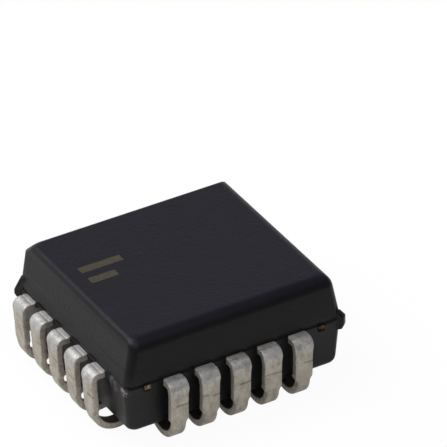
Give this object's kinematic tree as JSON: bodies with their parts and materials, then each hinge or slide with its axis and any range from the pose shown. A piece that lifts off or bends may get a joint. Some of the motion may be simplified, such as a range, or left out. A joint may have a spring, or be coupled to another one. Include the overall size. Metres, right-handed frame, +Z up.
{
  "type": "plastic leaded chip carrier",
  "caption": "Square surface-mount chip package: black moulded body on J-shaped tinned leads, with a chamfered pin-1 corner and the lead frame, die and bond wires inside.",
  "frame": {"origin": "in the seating plane on which the leads stand, under the middle of the body", "axes": "+Z up out of the marked top face, +Y towards the bevelled pin-1 side, +X to the right seen from above"},
  "size_m": [0.01, 0.01, 0.0044],
  "materials": {
    "mould_compound": "matte black filled epoxy with a fine grain",
    "lead_tin": "satin tin plating over copper alloy",
    "frame_copper": "bare sheared copper alloy",
    "die_adhesive": "silver-filled epoxy",
    "silicon": "polished silicon",
    "bond_gold": "bright gold wire"
  },
  "bodies": {
    "root": {"mould_body": "mould_compound", "die_paddle": "frame_copper", "die_attach": "die_adhesive", "silicon_die": "silicon", "lead_01": "lead_tin", "lead_02": "lead_tin", "lead_03": "lead_tin", "lead_04": "lead_tin", "lead_05": "lead_tin", "lead_06": "lead_tin", "lead_07": "lead_tin", "lead_08": "lead_tin", "lead_09": "lead_tin", "lead_10": "lead_tin", "lead_11": "lead_tin", "lead_12": "lead_tin", "lead_13": "lead_tin", "lead_14": "lead_tin", "lead_15": "lead_tin", "lead_16": "lead_tin", "lead_17": "lead_tin", "lead_18": "lead_tin", "lead_19": "lead_tin", "lead_20": "lead_tin", "bond_wire_01": "bond_gold", "bond_wire_02": "bond_gold", "bond_wire_03": "bond_gold", "bond_wire_04": "bond_gold", "bond_wire_05": "bond_gold", "bond_wire_06": "bond_gold", "bond_wire_07": "bond_gold", "bond_wire_08": "bond_gold", "bond_wire_09": "bond_gold", "bond_wire_10": "bond_gold", "bond_wire_11": "bond_gold", "bond_wire_12": "bond_gold", "bond_wire_13": "bond_gold", "bond_wire_14": "bond_gold", "bond_wire_15": "bond_gold", "bond_wire_16": "bond_gold", "bond_wire_17": "bond_gold", "bond_wire_18": "bond_gold", "bond_wire_19": "bond_gold", "bond_wire_20": "bond_gold"}
  },
  "joints": []
}
